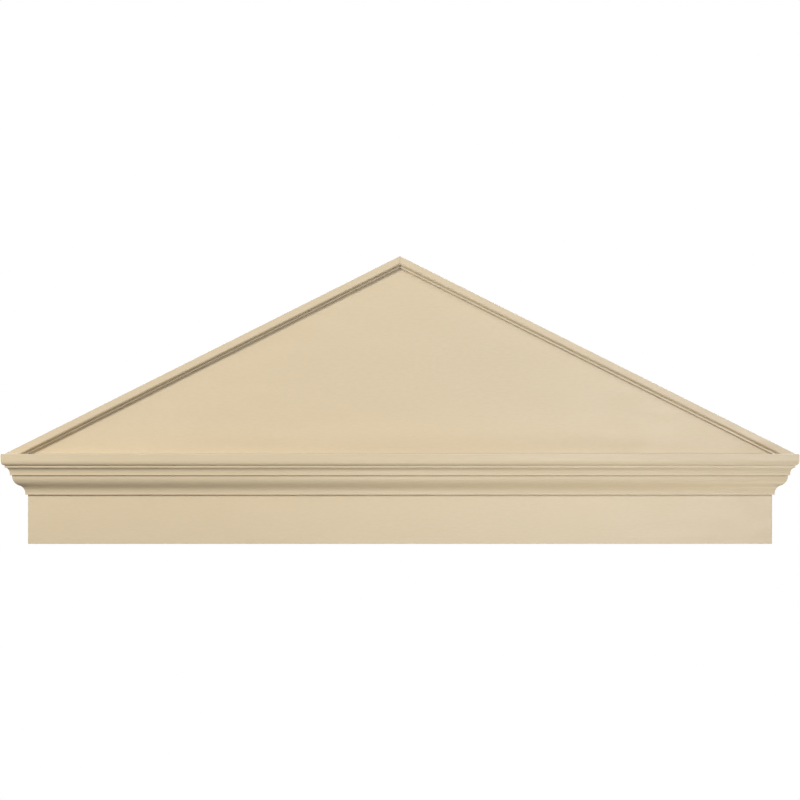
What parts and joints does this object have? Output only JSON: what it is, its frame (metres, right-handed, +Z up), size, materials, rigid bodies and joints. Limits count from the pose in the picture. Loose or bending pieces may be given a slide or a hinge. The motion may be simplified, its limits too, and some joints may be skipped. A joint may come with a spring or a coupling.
{
  "type": "wall pediment",
  "caption": "Classical gable pediment for a wall: a plain tympanum between raking mouldings, on a moulded cornice with mitred returns over a plain frieze.",
  "frame": {"origin": "middle of the frieze board's back face, on the wall and on the centre line, half-way up the board", "axes": "+X along the frieze to the pediment's right as seen from the front, +Y back into the wall, +Z up; the front faces -Y"},
  "size_m": [1.7546, 0.0793, 0.6319],
  "materials": {
    "board": "tan primer, semi-matt",
    "moulding": "tan primer, satin"
  },
  "bodies": {
    "root": {"frieze_board": "board", "cornice_front": "moulding", "cornice_return_left": "moulding", "cornice_return_right": "moulding", "tympanum_panel": "board", "raking_moulding_left": "moulding", "raking_moulding_right": "moulding"}
  },
  "joints": []
}
